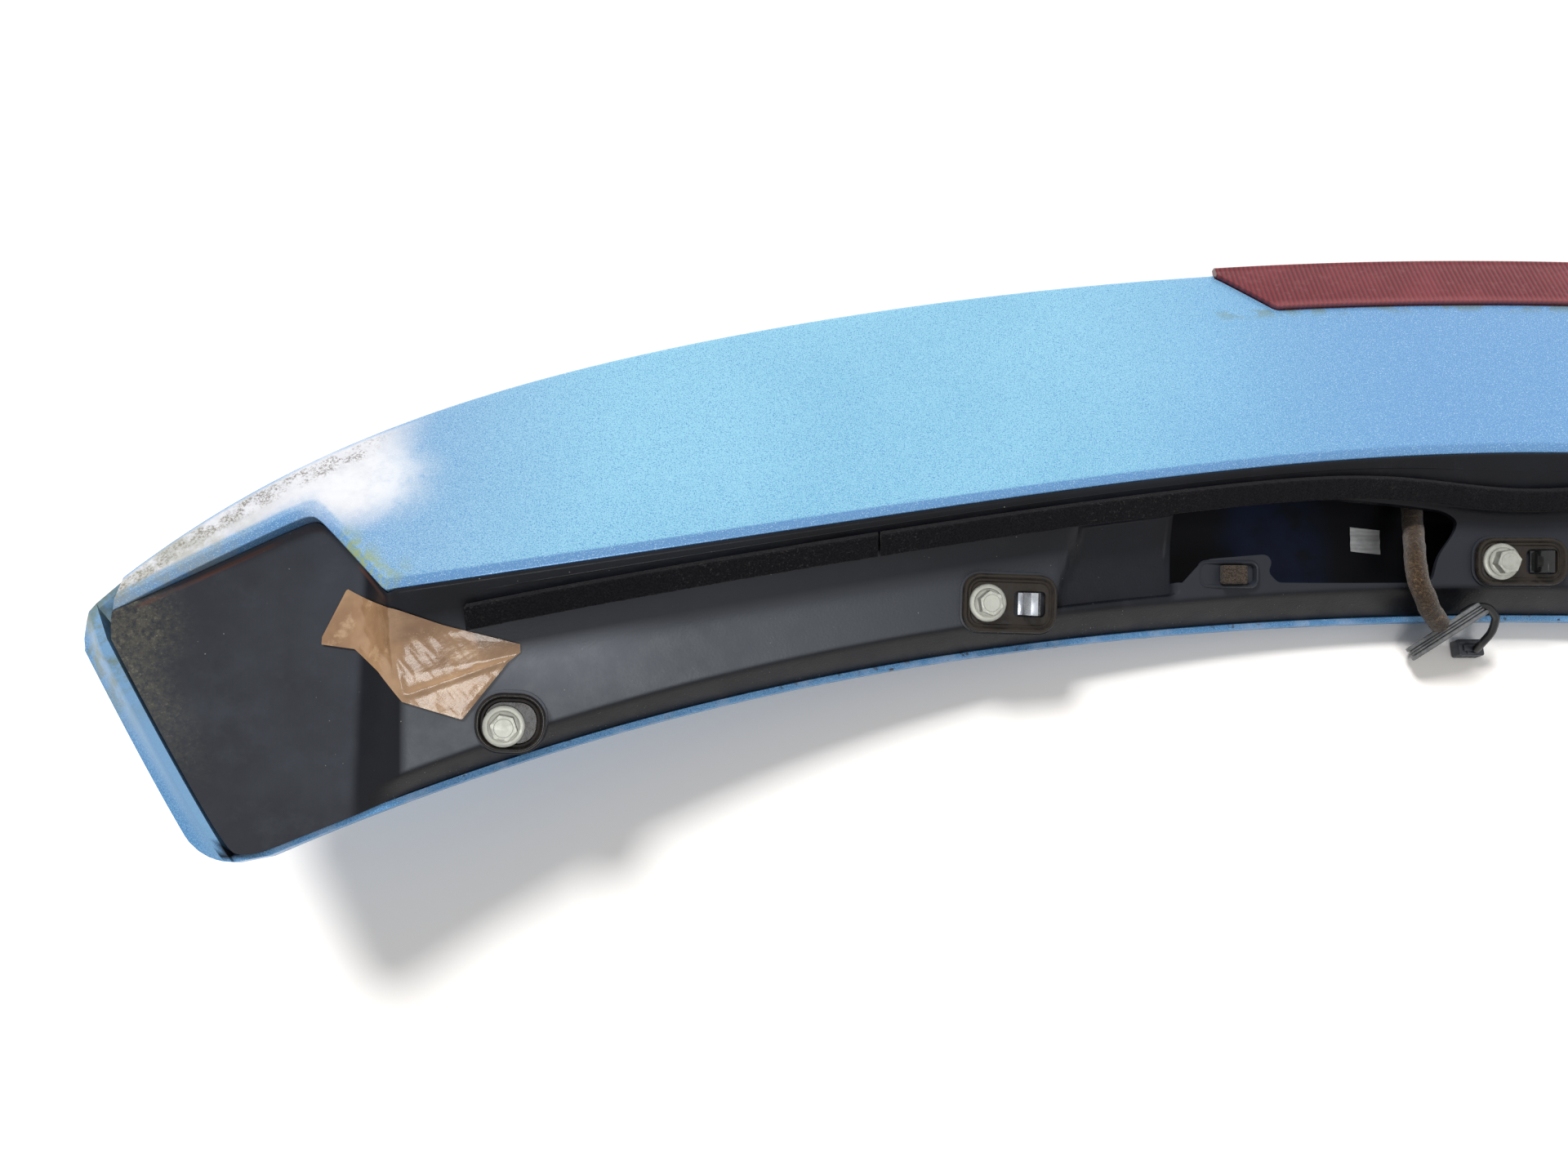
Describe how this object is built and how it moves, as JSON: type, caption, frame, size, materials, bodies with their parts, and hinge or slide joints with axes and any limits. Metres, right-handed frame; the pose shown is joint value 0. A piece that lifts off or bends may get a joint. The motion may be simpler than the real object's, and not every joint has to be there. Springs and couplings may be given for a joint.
{
  "type": "car rear roof spoiler",
  "caption": "Swept rear roof spoiler lying on its painted skin, mounting side up, with pads, gaskets, bolts, lamp and cable.",
  "frame": {"origin": "on the floor under the middle of the part's box, on the car's centre line", "axes": "+X across the car towards the tip without tape, +Y towards the trailing edge with the brake lamp, +Z away from the painted skin it lies on"},
  "size_m": [1.234, 0.2996, 0.1144],
  "materials": {
    "outer_paint": "metallic light blue paint with a worn edge",
    "under_paint": "metallic light blue paint, clear coat peeling at the rim",
    "base_plastic": "fine grained, weathered",
    "strip_foam": "dusty open-cell foam",
    "gasket_rubber": "dusty",
    "zinc_steel": "zinc plated",
    "insert_brass": "plain",
    "clip_steel": "bright",
    "clip_black": "glossy",
    "plug_foam": "foam",
    "lens_red": "dull red, ribbed",
    "lamp_housing": "plain",
    "board_green": "lacquered",
    "diode_resin": "clear",
    "seal_rubber": "plain",
    "sleeve_fleece": "fuzzy fleece tape",
    "grommet_rubber": "dusty",
    "lead_black": "satin",
    "connector_plastic": "plain",
    "label_paper": "wrinkled, bare",
    "parcel_tape": "wrinkled brown film"
  },
  "bodies": {
    "root": {"outer_skin": "outer_paint", "under_skin": "under_paint", "base_panel": "base_plastic", "foam_strip_left": "strip_foam", "foam_strip_centre": "strip_foam", "foam_strip_right": "strip_foam", "gasket_left_outer": "gasket_rubber", "gasket_left_inner": "gasket_rubber", "gasket_centre": "gasket_rubber", "gasket_right_inner": "gasket_rubber", "gasket_right_outer": "gasket_rubber", "mounting_bolts": "zinc_steel", "bolt_washers": "zinc_steel", "threaded_inserts": "insert_brass", "locating_clip_left": "clip_steel", "locating_clip_centre": "clip_black", "locating_clip_right": "clip_steel", "pocket_plug": "plug_foam", "brake_lamp_lens": "lens_red", "brake_lamp_housing": "lamp_housing", "lamp_circuit_board": "board_green", "lamp_diodes": "diode_resin", "lamp_seal": "seal_rubber", "harness_sleeve": "sleeve_fleece", "harness_grommet": "grommet_rubber", "harness_lead": "lead_black", "harness_connector": "connector_plastic", "cable_label": "label_paper", "tape_patch": "parcel_tape"}
  },
  "joints": []
}
